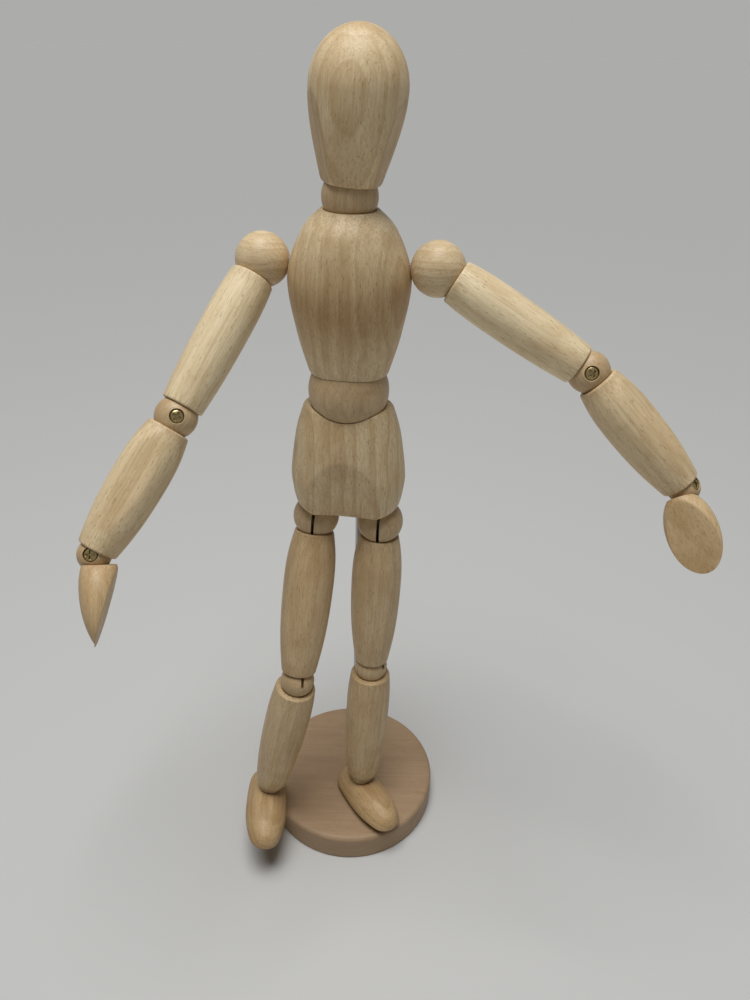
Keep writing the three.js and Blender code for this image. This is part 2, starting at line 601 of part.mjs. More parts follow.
// Arms
function arm(side, sign) {
  const pose = POSE[side];
  const socket = new THREE.Group();
  socket.position.set(sign * shoulderX, 0, shoulderZ);
  socket.rotation.y = -sign * Math.PI / 2;
  chest.add(socket);
  const peg = solid(bar(PEG_DIAMETER, SHANK_STOP + RUN, SHOULDER_STANDOFF + PEG_IN_CHEST));
  socket.add(piece(`${side}_shoulder_peg`, peg, steel()));

  const swivel = hinge(`${side}_shoulder_swivel`, 'z', pose.swivel);
  socket.add(swivel);
  const shoulderBall = slottedBall(SHOULDER_BALL, SHOULDER_SLOT, {});
  swivel.add(piece(`${side}_shoulder_ball`, shoulderBall, timber(BALL_WOOD)));
  swivel.add(piece(`${side}_shoulder_pin`, pin(SHOULDER_BALL), steel()));

  const swing = hinge(`${side}_shoulder_swing`, 'x', pose.swing);
  swivel.add(swing);
  const upperTie = limbTie({
    length: UPPER_ARM_LENGTH, topBall: SHOULDER_BALL, bottomBall: ELBOW_BALL, turn: pose.elbowTurn,
  });
  swing.add(piece(`${side}_upper_arm_tie`, upperTie, steel()));
  const elbowTurn = new THREE.Group();
  elbowTurn.rotation.z = rad(pose.elbowTurn);
  swing.add(elbowTurn);
  const sleeve = limbProfile({
    length: UPPER_ARM_LENGTH, belly: UPPER_ARM_BELLY, bellyAt: 0.33,
    top: { ball: SHOULDER_BALL, rim: SHOULDER_RIM, wall: RIM_WALL },
    bottom: { ball: ELBOW_BALL, rim: UPPER_ARM_RIM, wall: RIM_WALL },
  });
  elbowTurn.add(piece(`${side}_upper_arm`, solid(turned(sleeve, ROUND)), timber(PALE)));

  const elbow = hinge(`${side}_elbow_bend`, 'x', pose.elbow);
  elbow.position.z = -UPPER_ARM_LENGTH;
  elbowTurn.add(elbow);
  const elbowBall = lowerBall(ELBOW_BALL, ELBOW_SLOT, { shank: WIRE_DIAMETER, screwed: true });
  elbow.add(piece(`${side}_elbow_ball`, elbowBall, timber(BALL_WOOD)));
  elbow.add(piece(`${side}_elbow_screw`, screw(ELBOW_BALL), brass()));

  const forearm = hinge(`${side}_forearm_twist`, 'z', pose.forearm);
  elbow.add(forearm);
  const forearmProfile = limbProfile({
    length: FOREARM_LENGTH, belly: FOREARM_BELLY, bellyAt: 0.38,
    top: { ball: ELBOW_BALL, rim: ELBOW_RIM, wall: FOREARM_ELBOW_WALL },
    bottom: { ball: WRIST_BALL, rim: WRIST_RIM, wall: FOREARM_WRIST_WALL },
  });
  const planer = new THREE.BoxGeometry(FOREARM_BELLY, 2 * FOREARM_BELLY, FOREARM_LENGTH);
  planer.translate(FOREARM_FLAT + FOREARM_BELLY / 2, 0, -0.42 * FOREARM_LENGTH);
  const forearmBody = solid(turned(forearmProfile, ROUND)).subtract(solid(planer));
  forearm.add(piece(`${side}_forearm`, forearmBody, timber(PALE)));
  const forearmTie = limbTie({
    length: FOREARM_LENGTH, topBall: ELBOW_BALL, bottomBall: WRIST_BALL, shank: WIRE_DIAMETER,
  });
  forearm.add(piece(`${side}_forearm_tie`, forearmTie, steel()));

  const wrist = hinge(`${side}_wrist_bend`, 'x', pose.wrist);
  wrist.position.z = -FOREARM_LENGTH;
  forearm.add(wrist);
  const wristBall = lowerBall(WRIST_BALL, WRIST_SLOT, { screwed: true, stem: true });
  wrist.add(piece(`${side}_wrist_ball`, wristBall, timber(BALL_WOOD)));
  wrist.add(piece(`${side}_wrist_screw`, screw(WRIST_BALL), brass()));
  const hand = hinge(`${side}_hand_twist`, 'z', pose.hand);
  wrist.add(hand);
  hand.add(piece(`${side}_hand`, handEgg(), timber(PALE)));
}

// Legs
function leg(side, sign) {
  const pose = POSE[side];
  const turn = hinge(`${side}_hip_turn`, 'z', 0);
  turn.position.set(sign * HIP_SPREAD / 2, 0, 0);
  figure.add(turn);
  const springLow = HIP_BALL / 2 + SPRING_CLEAR;
  const hipSpring = solid(bar(SPRING_DIAMETER, springLow, springLow + HIP_SPRING_LENGTH))
    .add(solid(bar(WIRE_DIAMETER, SHANK_STOP + RUN, springLow + 1)));
  turn.add(piece(`${side}_hip_spring`, hipSpring, steel()));

  const splay = hinge(`${side}_hip_splay`, 'y', pose.splay);
  turn.add(splay);
  const hipBall = slottedBall(HIP_BALL, HIP_SLOT, { shank: WIRE_DIAMETER, sway: HIP_SWAY });
  splay.add(piece(`${side}_hip_ball`, hipBall, timber(BALL_WOOD)));
  splay.add(piece(`${side}_hip_pin`, pin(HIP_BALL), steel()));

  const thigh = hinge(`${side}_hip_swing`, 'x', pose.stride);
  splay.add(thigh);
  const thighProfile = limbProfile({
    length: THIGH_LENGTH, belly: THIGH_BELLY, bellyAt: 0.36,
    top: { ball: HIP_BALL, rim: HIP_RIM, wall: RIM_WALL },
    bottom: { ball: KNEE_BALL, rim: KNEE_RIM, wall: THIGH_KNEE_WALL },
  });
  thigh.add(piece(`${side}_thigh`, solid(turned(thighProfile, ROUND)), timber(PALE)));
  const thighTie = limbTie({
    length: THIGH_LENGTH, topBall: HIP_BALL, bottomBall: KNEE_BALL, turn: pose.kneeTurn,
  });
  thigh.add(piece(`${side}_thigh_tie`, thighTie, steel()));

  const kneeTurn = new THREE.Group();
  kneeTurn.rotation.z = rad(pose.kneeTurn);
  thigh.add(kneeTurn);
  const knee = hinge(`${side}_knee_bend`, 'x', pose.knee);
  knee.position.z = -THIGH_LENGTH;
  kneeTurn.add(knee);
  const kneeBall = lowerBall(KNEE_BALL, KNEE_SLOT, { shank: WIRE_DIAMETER });
  knee.add(piece(`${side}_knee_ball`, kneeBall, timber(BALL_WOOD)));
  knee.add(piece(`${side}_knee_pin`, pin(KNEE_BALL), steel()));

  const shin = hinge(`${side}_shin_twist`, 'z', pose.shin);
  knee.add(shin);
  const shinProfile = limbProfile({
    length: SHIN_LENGTH, belly: SHIN_BELLY, bellyAt: 0.3,
    top: { ball: KNEE_BALL, rim: SHIN_RIM, wall: SHIN_KNEE_WALL },
    bottom: { ball: ANKLE_BALL, rim: ANKLE_RIM, wall: SHIN_ANKLE_WALL },
  });
  shin.add(piece(`${side}_shin`, solid(turned(shinProfile, ROUND)), timber(PALE)));
  const shinTie = limbTie({
    length: SHIN_LENGTH, topBall: KNEE_BALL, bottomBall: ANKLE_BALL, shank: WIRE_DIAMETER,
  });
  shin.add(piece(`${side}_shin_tie`, shinTie, steel()));

  const ankle = hinge(`${side}_ankle_bend`, 'x', pose.ankle);
  ankle.position.z = -SHIN_LENGTH;
  shin.add(ankle);
  const ankleBall = lowerBall(ANKLE_BALL, ANKLE_SLOT, { stem: true });
  ankle.add(piece(`${side}_ankle_ball`, ankleBall, timber(BALL_WOOD)));
  ankle.add(piece(`${side}_ankle_pin`, pin(ANKLE_BALL), steel()));
  const foot = hinge(`${side}_foot_twist`, 'z', pose.foot);
  ankle.add(foot);
  const footMesh = piece(`${side}_foot`, footWedge(), timber(PALE));
  foot.add(footMesh);
  return footMesh;
}

for (const [side, sign] of [['left', 1], ['right', -1]]) arm(side, sign);
leg('right', -1);
const standingFoot = leg('left', 1);

// The figure hangs on the rod at the height that leaves its standing foot just clear of the base.
mannequin.updateMatrixWorld(true);
const soleHeight = new THREE.Box3().setFromObject(standingFoot, true).min.z;
figure.position.z = BASE_HEIGHT + SOLE_LIFT - soleHeight;

// Rod: a plain steel rod from the base's hole up into the pelvis, below its bore's end
const rodFoot = BASE_HEIGHT - ROD_IN_BASE + RUN;
const rodTop = figure.position.z + PELVIS_FLOOR + ROD_IN_PELVIS;
rodTurn.add(piece('support_rod', solid(bar(ROD_DIAMETER, rodFoot, rodTop, ROUND)), steel()));

export default mannequin;
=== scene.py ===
import json

import bpy
import numpy as np
from mathutils import Matrix, Vector


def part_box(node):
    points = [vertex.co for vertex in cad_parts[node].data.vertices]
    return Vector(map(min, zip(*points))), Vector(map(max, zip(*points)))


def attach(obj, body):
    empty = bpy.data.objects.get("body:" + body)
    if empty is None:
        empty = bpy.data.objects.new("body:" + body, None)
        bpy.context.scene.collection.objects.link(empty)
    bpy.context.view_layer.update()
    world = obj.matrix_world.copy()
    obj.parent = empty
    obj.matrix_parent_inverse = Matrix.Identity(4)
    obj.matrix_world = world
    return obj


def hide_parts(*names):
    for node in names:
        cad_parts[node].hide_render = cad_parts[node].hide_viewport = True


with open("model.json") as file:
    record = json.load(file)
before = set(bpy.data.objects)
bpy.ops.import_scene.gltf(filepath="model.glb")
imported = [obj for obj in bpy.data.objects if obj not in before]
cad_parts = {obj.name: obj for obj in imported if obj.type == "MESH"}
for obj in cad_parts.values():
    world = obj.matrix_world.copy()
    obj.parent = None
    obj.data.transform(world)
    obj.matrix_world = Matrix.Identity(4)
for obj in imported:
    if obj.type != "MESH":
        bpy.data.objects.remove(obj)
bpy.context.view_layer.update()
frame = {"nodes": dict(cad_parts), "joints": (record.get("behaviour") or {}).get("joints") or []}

# Base
# A turned disc of reddish brown wood with its grain lying across the figure.
# Its upper edge is rounded over, and a blind hole near the middle holds the rod.
BASE_RADIUS = 40.0
BASE_HEIGHT = 13.5
BASE_EDGE = 2.0
BASE_CHAMFER = 0.6
ROD_HOLE = 2.75
ROD_HOLE_DEPTH = 10.0
joints = {joint["name"]: joint for joint in frame["joints"]}
chance = np.random.default_rng(11)


def centre_of(name):
    """The place of a joint, in millimetres."""
    return 1000 * np.array(joints[name]["pos_m"], float)


def axis_of(name):
    """The direction of a joint's axis, of length one."""
    axis = np.array(joints[name]["axis"], float)
    return axis / np.linalg.norm(axis)


def seat(centre, across, up):
    """Where a piece sits: its centre, and its own axes as columns, Z along up, X nearest to across."""
    z = up / np.linalg.norm(up)
    x = across - z * (across @ z)
    x = x / np.linalg.norm(x)
    return np.asarray(centre, float), np.stack([x, np.cross(z, x), z], axis=1)


def turned(profile, sides=96):
    """A profile of (radius, height) carried round Z: x = r cos a, y = r sin a, z = h."""
    profile = np.asarray(profile, float)
    angle = np.linspace(0, 2 * np.pi, sides, endpoint=False)
    radius, height = profile[:, :1], profile[:, 1:]
    return np.stack([radius * np.cos(angle), radius * np.sin(angle), height + 0 * angle], axis=-1)


def skin(name, rows, ring=False):
    """A closed mesh on a grid of points: each row is a loop and is joined to the next row.

    The end rows close on a point in their middle, or on each other when ring is true."""
    count, sides, _ = rows.shape
    index = np.arange(count * sides).reshape(count, sides)
    low = index if ring else index[:-1]
    high = np.roll(index, -1, axis=0) if ring else index[1:]
    quads = np.stack([low, np.roll(low, -1, 1), np.roll(high, -1, 1), high], axis=-1).reshape(-1, 4)
    points = rows.reshape(-1, 3)
    faces = quads.tolist()
    if not ring:
        points = np.vstack([points, rows[0].mean(axis=0), rows[-1].mean(axis=0)])
        first, last = index[0], index[-1]
        foot = np.full(sides, count * sides)
        faces += np.stack([np.roll(first, -1), first, foot], axis=-1).tolist()
        faces += np.stack([last, np.roll(last, -1), foot + 1], axis=-1).tolist()
    mesh = bpy.data.meshes.new(name)
    mesh.from_pydata(points.tolist(), [], faces)
    made = bpy.data.objects.new(name, mesh)
    bpy.context.scene.collection.objects.link(made)
    return made


def fit(
    piece, place, body, nodes, finish,
    along="z", heart=None, tone=None, figure=0.4, crease=24,
):
    """Seats a piece in the figure and gives it its finish.

    Its own millimetres, measured from the tree's heart, are kept as the grain attribute. The height
    attribute runs from 0 to 1 along the grain, tone is how brown the piece is, or a function of the
    piece's own points that gives it, and figure is how strongly its growth rings show."""
    mesh = piece.data
    local = np.empty(3 * len(mesh.vertices))
    mesh.vertices.foreach_get("co", local)
    local = local.reshape(-1, 3)
    lay = {"z": local, "x": local[:, [1, 2, 0]], "y": local[:, [2, 0, 1]]}[along]
    side = chance.uniform(0, 2 * np.pi)
    away = chance.uniform(22, 45)
    heart = (away * np.cos(side), away * np.sin(side)) if heart is None else heart
    tone = chance.uniform(0.7, 1.0) if tone is None else tone
    tone = tone(local) if callable(tone) else tone
    low, high = lay[:, 2].min(), lay[:, 2].max()
    grain = mesh.attributes.new("grain", "FLOAT_VECTOR", "POINT")
    grain.data.foreach_set("vector", (lay - [*heart, chance.uniform(-300, 300)]).ravel())
    height = (lay[:, 2] - low) / (high - low)
    for name, value in (("height", height), ("tone", tone), ("figure", figure)):
        made = mesh.attributes.new(name, "FLOAT", "POINT")
        made.data.foreach_set("value", np.broadcast_to(value, len(local)).astype(float))
    centre, axes = place
    mesh.vertices.foreach_set("co", ((local @ axes.T + centre) / 1000).ravel())
    mesh.update()
    mesh.shade_smooth()
    mesh.set_sharp_from_angle(angle=np.radians(crease))
    mesh.materials.clear()
    mesh.materials.append(finish)
    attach(piece, body)
    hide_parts(*nodes)
    return piece


def add_node(tree, kind, inputs=(), **settings):
    """A shader node with its settings, its inputs given as plain values or as other nodes' outputs."""
    made = tree.nodes.new(kind)
    for key, value in settings.items():
        setattr(made, key, value)
    for name, value in dict(inputs).items():
        socket = made.inputs[name]
        if isinstance(value, bpy.types.NodeSocket):
            tree.links.new(value, socket)
        else:
            socket.default_value = value
    return made


def wood(name, pale, dark, pore, ring_width, roughness, fleck):
    """A turned wood read from the grain attribute.

    Growth rings follow the distance from the tree's heart, swayed by a noise that is long in the
    grain and uneven in width: each darkens slowly and ends at once. Streaks, fibres and flecks are
    finer noises, a broad one clouds the colour, and both ends darken: handling dirt, and painted
    shade at the sockets where the pieces meet."""
    material = bpy.data.materials.new(name)
    material.use_nodes = True
    tree = material.node_tree
    shader = tree.nodes["Principled BSDF"]

    def math(operation, first, second=0.0, third=0.0):
        inputs = {0: first, 1: second, 2: third}
        return add_node(tree, "ShaderNodeMath", inputs, operation=operation).outputs[0]

    def noise(scale, detail, vector):
        inputs = {"Vector": vector, "Scale": scale, "Detail": detail, "Roughness": 0.6}
        return add_node(tree, "ShaderNodeTexNoise", inputs).outputs["Fac"]

    def stretch(vector, factors):
        inputs = {0: vector, 1: factors}
        return add_node(tree, "ShaderNodeVectorMath", inputs, operation="MULTIPLY").outputs[0]

    def blend(amount, first, second, kind="MIX"):
        made = add_node(tree, "ShaderNodeMix", {"Factor": amount}, data_type="RGBA", blend_type=kind)
        for socket, value in ((made.inputs[6], first), (made.inputs[7], second)):
            if isinstance(value, bpy.types.NodeSocket):
                tree.links.new(value, socket)
            else:
                socket.default_value = value
        return made.outputs[2]

    def between(value, low, high, top=1.0):
        inputs = {"Value": value, "From Min": low, "From Max": high, "To Max": top}
        return add_node(tree, "ShaderNodeMapRange", inputs).outputs["Result"]

    def attribute(name, output="Fac"):
        return add_node(tree, "ShaderNodeAttribute", attribute_name=name).outputs[output]

    place = attribute("grain", "Vector")
    reach = {0: stretch(place, (1.0, 1.0, 0.03))}
    reach = add_node(tree, "ShaderNodeVectorMath", reach, operation="LENGTH").outputs["Value"]
    sway = noise(0.08, 2.0, stretch(place, (1.0, 1.0, 0.14)))
    uneven = noise(0.3, 1.0, add_node(tree, "ShaderNodeCombineXYZ", {"X": reach}).outputs[0])
    phase = math("MULTIPLY_ADD", sway, 2.4, math("DIVIDE", reach, ring_width))
    phase = math("FRACT", math("MULTIPLY_ADD", uneven, 1.6, phase))
    late = math("MULTIPLY", math("POWER", phase, 2.2), between(phase, 1.0, 0.80))
    streaks = noise(1.0, 3.0, stretch(place, (1.6, 1.6, 0.05)))
    fibres = noise(1.0, 3.0, stretch(place, (4.6, 4.6, 0.16)))
    flecks = between(noise(1.0, 2.0, stretch(place, (2.8, 2.8, 0.42))), 0.60, 0.70)
    patches = noise(1.0, 2.0, stretch(place, (0.09, 0.09, 0.05)))
    # Both ends darken: handling dirt, and painted shade at the sockets where pieces meet.
    ends = between(math("ABSOLUTE", math("SUBTRACT", attribute("height"), 0.5)), 0.40, 0.52)
    turning = noise(1.0, 2.0, stretch(place, (0.06, 0.06, 2.2)))
    colour = blend(math("MULTIPLY", late, attribute("figure")), pale, dark)
    colour = blend(between(streaks, 0.42, 0.75, 0.45), colour, dark)
    colour = blend(between(fibres, 0.45, 0.80, 0.30), colour, dark)
    colour = blend(math("MULTIPLY", flecks, fleck), colour, pore)
    colour = blend(between(patches, 0.46, 0.72, 0.40), colour, dark)
    # tone browns each piece: its own colour, and painted shade on the hands, feet and planed flats.
    brown = tuple(part / whole for part, whole in zip(dark, pale))
    colour = blend(math("MULTIPLY", attribute("tone"), 0.6), colour, brown, "MULTIPLY")
    colour = blend(math("MULTIPLY", ends, between(streaks, 0.35, 0.7, 0.35)), colour, pore)
    tree.links.new(colour, shader.inputs["Base Color"])
    gloss = math("MULTIPLY_ADD", fibres, 0.24, roughness - 0.12)
    tree.links.new(gloss, shader.inputs["Roughness"])
    depth = math("MULTIPLY_ADD", flecks, -0.8, math("MULTIPLY_ADD", turning, 0.35, fibres))
    bump = add_node(tree, "ShaderNodeBump", {"Strength": 0.2, "Distance": 0.0002, "Height": depth})
    tree.links.new(bump.outputs["Normal"], shader.inputs["Normal"])
    shader.inputs["Specular IOR Level"].default_value = 0.35
    return material


def base_rows():
    """Up the side of the disc, and over the top to the rod's hole, which lies off the middle.

    Between the rim and the hole each row is a mix of the two circles."""
    edge = np.linspace(0, np.pi / 2, 9)
    side = np.concatenate([
        [[0.2, 0.0], [BASE_RADIUS - BASE_CHAMFER, 0.0], [BASE_RADIUS, BASE_CHAMFER]],
        np.stack([
            BASE_RADIUS - BASE_EDGE + BASE_EDGE * np.cos(edge),
            BASE_HEIGHT - BASE_EDGE + BASE_EDGE * np.sin(edge),
        ], axis=-1),
    ])
    outer = turned(side, 160)
    hole = turned([
        [ROD_HOLE + 0.25, BASE_HEIGHT], [ROD_HOLE, BASE_HEIGHT - 0.25],
        [ROD_HOLE, BASE_HEIGHT - ROD_HOLE_DEPTH], [0.1, BASE_HEIGHT - ROD_HOLE_DEPTH],
    ], 160)
    hole[..., :2] += centre_of("rod_swivel")[:2]
    share = np.linspace(0, 1, 14)[1:-1, None, None]
    across = outer[-1] * (1 - share) + hole[0] * share
    return np.concatenate([outer, across, hole])


base_wood = wood(
    "base_wood", pale=(0.47, 0.325, 0.195, 1), dark=(0.34, 0.22, 0.125, 1), pore=(0.18, 0.11, 0.06, 1),
    ring_width=7.0, roughness=0.5, fleck=0.3,
)
upright = seat((0, 0, 0), np.array([1.0, 0, 0]), np.array([0, 0, 1.0]))
fit(
    skin("base", base_rows()), upright, "base", ["base"], base_wood,
    along="x", heart=(30, -60), tone=0.3,
)

# Support rod
# A plain drawn steel rod with slightly broken edges. It stands in the base's hole and goes up
# into the pelvis, which slides on it.
ROD_RADIUS = 2.5


def metal(name, colour, roughness, dullness):
    """A drawn or turned metal: a noise long in the grain roughens and darkens it in streaks."""
    material = bpy.data.materials.new(name)
    material.use_nodes = True
    tree = material.node_tree
    shader = tree.nodes["Principled BSDF"]
    place = add_node(tree, "ShaderNodeTexCoord").outputs["Object"]
    drawn = {0: place, 1: (3000.0, 3000.0, 120.0)}
    drawn = add_node(tree, "ShaderNodeVectorMath", drawn, operation="MULTIPLY").outputs[0]
    streaks = {"Vector": drawn, "Scale": 1.0, "Detail": 3.0}
    streaks = add_node(tree, "ShaderNodeTexNoise", streaks).outputs["Fac"]
    tint = add_node(tree, "ShaderNodeMix", {"Factor": streaks}, data_type="RGBA")
    tint.inputs[6].default_value = colour
    tint.inputs[7].default_value = tuple(dullness * part for part in colour[:3]) + (1.0,)
    tree.links.new(tint.outputs[2], shader.inputs["Base Color"])
    worn = {"Value": streaks, "To Min": roughness - 0.08, "To Max": roughness + 0.12}
    worn = add_node(tree, "ShaderNodeMapRange", worn).outputs["Result"]
    tree.links.new(worn, shader.inputs["Roughness"])
    shader.inputs["Metallic"].default_value = 1.0
    return material


steel = metal("steel", (0.56, 0.56, 0.57, 1), 0.34, 0.7)
rod_low, rod_high = (1000 * np.array(corner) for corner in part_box("support_rod"))
rod_profile = [
    [0.2, rod_low[2]], [ROD_RADIUS - 0.4, rod_low[2]], [ROD_RADIUS, rod_low[2] + 0.4],
    [ROD_RADIUS, rod_high[2] - 0.4], [ROD_RADIUS - 0.4, rod_high[2]], [0.2, rod_high[2]],
]
rod_place = seat(centre_of("rod_swivel") * [1, 1, 0], np.array([1.0, 0, 0]), np.array([0, 0, 1.0]))
fit(skin("support_rod", turned(rod_profile, 64)), rod_place, "rod", ["support_rod"], steel)

# Pelvis
# An oval turned block of pale wood, hollowed above for the waist ball and below for the hip balls.
# Its lower front is planed flat, and the rod slides in a bore at its back.
HIP_SPREAD = 25.4
HIP_BALL = 18.0
WAIST_BALL = 28.8
WAIST_OVER_HIPS = 54.7
PELVIS_FLOOR = 7.0
PELVIS_TOP = 49.4
PELVIS_BELLY = 23.0
PELVIS_OVAL = 0.76
PELVIS_PLANE = (0.0, -15.74, 34.0)
PELVIS_PLANE_TILT = np.radians(10.5)
SOCKET_GAP = 0.25
RIM_EASING = 1.3
ROD_BESIDE = np.array([4.3, 9.0, 0.0])
ROD_BORE_TOP = 31.3


def flowing(points, count):
    """A smooth line through a few points.

    Each stretch is a cubic whose end slopes follow its neighbours."""
    points = np.asarray(points, float)
    last = len(points) - 1
    t = np.linspace(0, last, count)
    start = np.minimum(t.astype(int), last - 1)
    t = (t - start)[:, None]
    a, b, c, d = (points[np.clip(start + step, 0, last)] for step in (-1, 0, 1, 2))
    rise, fall = (c - a) / 2, (d - b) / 2
    return (2 * b - 2 * c + rise + fall) * t**3 + (3 * c - 3 * b - 2 * rise - fall) * t**2 + rise * t + b


def globe(radius, centre=(0.0, 0.0, 0.0), sides=96):
    """A ball: a half circle carried round Z."""
    angle = np.linspace(-np.pi / 2, np.pi / 2, sides // 2 + 1)[1:-1]
    rows = turned(np.stack([radius * np.cos(angle), radius * np.sin(angle)], axis=-1), sides)
    return skin("ball", rows + np.asarray(centre, float))


def bar(radius, low, high, sides=48):
    """A straight round bar along Z."""
    return turned([[0.05, low], [radius, low], [radius, high], [0.05, high]], sides)


def block(low, high):
    """The rows of a box between two corners: two square loops."""
    (x0, y0, z0), (x1, y1, z1) = low, high
    loop = np.array([[x0, y0], [x1, y0], [x1, y1], [x0, y1]])
    return np.stack([np.column_stack([loop, np.full(4, z)]) for z in (z0, z1)])


def tilted(rows, degrees):
    """Rows turned about X."""
    c, s = np.cos(np.radians(degrees)), np.sin(np.radians(degrees))
    return rows @ np.array([[1, 0, 0], [0, c, -s], [0, s, c]]).T


def planed(rows, normal, through, softness=0.12):
    """Rows pressed back to a plane: what stands over it by h moves in by s log(1 + e^(h / s))."""
    normal = np.asarray(normal, float) / np.linalg.norm(normal)
    over = (rows - np.asarray(through, float)) @ normal
    return rows - softness * np.logaddexp(0, over / softness)[..., None] * normal


def planed_shade_tone(tone, more, *planes):
    """How brown a piece is, with painted shade on its planed flats: browner within a quarter millimetre
    of each plane.
    """
    def at(points):
        away = [
            np.abs((points - through) @ (normal / np.linalg.norm(normal)))
            for normal, through in planes
        ]
        return tone + more * np.clip(1.6 - np.min(away, axis=0) / 0.15, 0, 1)
    return at


def eased(rows, centre, radius, easing):
    """Rows rounded off below the rim that a ball of the given centre height and radius will cut.

    Each column of points finds the height where it enters the ball, or its top. Towards that height its
    distance from the axis shrinks as a quarter circle."""
    height = rows[..., 2]
    over = np.hypot(np.hypot(rows[..., 0], rows[..., 1]), height - centre) - radius
    over[-1] = np.minimum(over[-1], 0)
    first = np.argmax(over <= 0, axis=0)
    column = np.arange(rows.shape[1])
    below, inside = over[first - 1, column], over[first, column]
    share = below / np.maximum(below - inside, 1e-9)
    edge = height[first - 1, column] * (1 - share) + height[first, column] * share
    near = np.clip((height - edge) / easing + 1, 0, 1)
    shrink = easing * (1 - np.sqrt(1 - near**2))
    rows = rows.copy()
    rows[..., :2] *= (1 - shrink / np.hypot(rows[..., 0], rows[..., 1]))[..., None]
    return rows


def cut(piece, *tools):
    """Takes closed tool shapes away from a piece, one after the other."""
    for tool in tools:
        step = piece.modifiers.new("cut", "BOOLEAN")
        step.operation = "DIFFERENCE"
        step.solver = "MANIFOLD"
        step.object = tool
    shaped = piece.evaluated_get(bpy.context.evaluated_depsgraph_get())
    mesh = bpy.data.meshes.new_from_object(shaped)
    piece.modifiers.clear()
    piece.data = mesh
    for tool in tools:
        bpy.data.objects.remove(tool)
    return piece


pale_wood = wood(
    "pale_wood", pale=(0.90, 0.76, 0.50, 1), dark=(0.50, 0.31, 0.125, 1), pore=(0.29, 0.175, 0.08, 1),
    ring_width=5.2, roughness=0.46, fleck=0.6,
)
pelvis_profile = flowing([
    [18.5, PELVIS_FLOOR], [20.0, PELVIS_FLOOR + 2.4], [21.2, PELVIS_FLOOR + 8.8], [21.5, PELVIS_BELLY],
    [19.23, 38.84], [16.1, PELVIS_TOP],
], 150)
pelvis_rows = turned(pelvis_profile, 160) * [1, PELVIS_OVAL, 1]
facing = np.array([0, -np.cos(PELVIS_PLANE_TILT), -np.sin(PELVIS_PLANE_TILT)])
pelvis_rows = planed(pelvis_rows, facing, PELVIS_PLANE)
pelvis = skin("pelvis", eased(pelvis_rows, WAIST_OVER_HIPS, WAIST_BALL / 2 + SOCKET_GAP, RIM_EASING))
cut(
    pelvis,
    globe(WAIST_BALL / 2 + SOCKET_GAP, (0, 0, WAIST_OVER_HIPS), 160),
    globe(HIP_BALL / 2 + SOCKET_GAP, (-HIP_SPREAD / 2, 0, 0)),
    globe(HIP_BALL / 2 + SOCKET_GAP, (HIP_SPREAD / 2, 0, 0)),
    skin("rod_bore", bar(ROD_HOLE, -5, ROD_BORE_TOP) + ROD_BESIDE),
)
hips = centre_of("left_hip_turn"), centre_of("right_hip_turn")
pelvis_place = seat((hips[0] + hips[1]) / 2, hips[0] - hips[1], np.array([0, 0, 1.0]))
# The planed front is browned as painted shade.
fit(
    pelvis, pelvis_place, "pelvis", ["pelvis"], pale_wood,
    heart=(-40, -20), tone=planed_shade_tone(0.5, 0.1, (facing, np.array(PELVIS_PLANE))), figure=0.7,
)

# Waist ball
# A large wooden ball between pelvis and chest, bored through for the wire that holds both.
WAIST_MOUTH = 6.7
WIRE_BORE = 1.6
ball_wood = wood(
    "ball_wood", pale=(0.80, 0.64, 0.40, 1), dark=(0.47, 0.31, 0.15, 1), pore=(0.27, 0.165, 0.08, 1),
    ring_width=2.4, roughness=0.42, fleck=0.6,
)


def threaded_ball(radius, mouth, waist):
    """A ball with a bore along Z that widens to both ends.

    The closed loop of that half section is carried round Z."""
    start = np.arcsin(mouth / radius)
    angle = np.linspace(-np.pi / 2 + start, np.pi / 2 - start, 56)
    outside = np.stack([radius * np.cos(angle), radius * np.sin(angle)], axis=-1)
    return turned(np.concatenate([outside, [[waist, 1.0], [waist, -1.0]]]), 112)


chest_up = np.cross(axis_of("waist_bend"), axis_of("waist_lean"))
waist_place = seat(centre_of("waist_bend"), axis_of("waist_bend"), chest_up)
waist_ball = skin("waist_ball", threaded_ball(WAIST_BALL / 2, WAIST_MOUTH, WIRE_BORE), ring=True)
fit(waist_ball, waist_place, "waist", ["waist_ball"], ball_wood)

# Chest
# An oval barrel of pale wood, widest at the shoulders, with round sockets for the waist, neck and
# shoulder balls. A wire under spring tension runs up its middle.
CHEST_FLOOR = 7.0
CHEST_TOP = 61.0
CHEST_BELLY = 40.0
CHEST_WIDTH = 41.0
CHEST_OVAL = 0.86
CHEST_RIM = 9.53
NECK_BALL = 18.0
NECK_OVER_WAIST = 64.7
SHOULDER_BALL = 18.0
SHOULDER_OUT = 28.9
SHOULDER_UP = 43.9
DISH_GAP = 0.08
chest_profile = np.concatenate([
    [[13.0, CHEST_FLOOR], [13.5, CHEST_FLOOR + 0.12], [13.9, CHEST_FLOOR + 0.45]],
    flowing([
        [14.15, CHEST_FLOOR + 0.9], [17.99, 21.85], [CHEST_WIDTH / 2, CHEST_BELLY], [15.67, 54.28],
        [CHEST_RIM, CHEST_TOP],
    ], 64),
])


def brown_middle(points):
    """How brown the chest is: a hump along its height, fullest just below the shoulders."""
    return 0.35 + 0.95 * np.exp(-((points[:, 2] - 32) / 14) ** 2)


